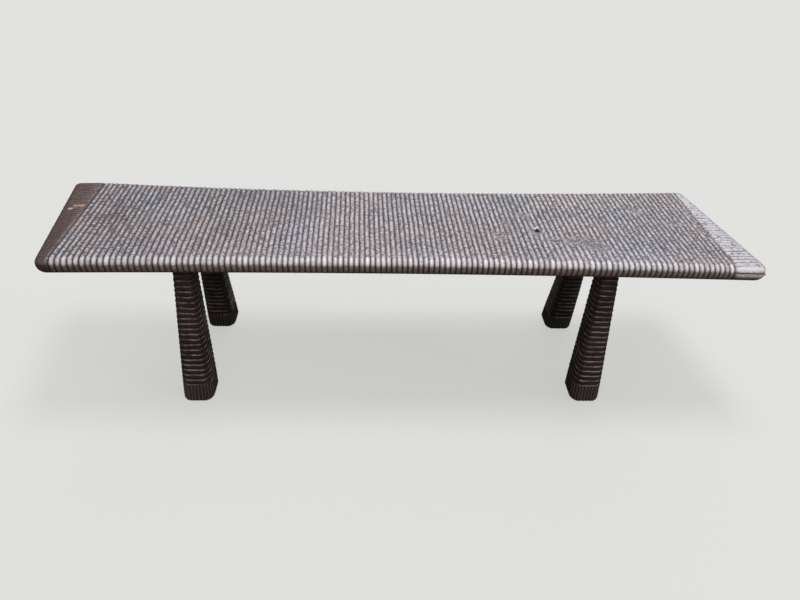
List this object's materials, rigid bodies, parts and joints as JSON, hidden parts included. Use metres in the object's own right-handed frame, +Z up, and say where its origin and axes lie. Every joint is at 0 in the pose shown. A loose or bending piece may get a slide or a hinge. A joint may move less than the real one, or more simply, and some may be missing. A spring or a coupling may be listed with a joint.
{
  "type": "bench",
  "caption": "Low backless bench: a thick dark hardwood plank with carved cross ridges and skewed ends, on square tapered splayed legs with round corners, carved with rings.",
  "frame": {"origin": "on the floor, under the middle of the bench's overall length and depth", "axes": "+Z up; +X to the right along the bench, seen from its front; +Y from the front edge to the back edge"},
  "size_m": [1.5714, 0.349, 0.45],
  "materials": {
    "plank_wood": "dark stained hardwood, hand carved, satin wax",
    "leg_wood": "near-black stained hardwood, hand carved, satin wax",
    "wedge_wood": "plain unfinished hardwood, sealed inside the joint"
  },
  "bodies": {
    "root": {"seat_plank": "plank_wood", "leg_front_left": "leg_wood", "leg_front_right": "leg_wood", "leg_back_left": "leg_wood", "leg_back_right": "leg_wood", "wedge_front_left": "wedge_wood", "wedge_front_right": "wedge_wood", "wedge_back_left": "wedge_wood", "wedge_back_right": "wedge_wood"}
  },
  "joints": []
}
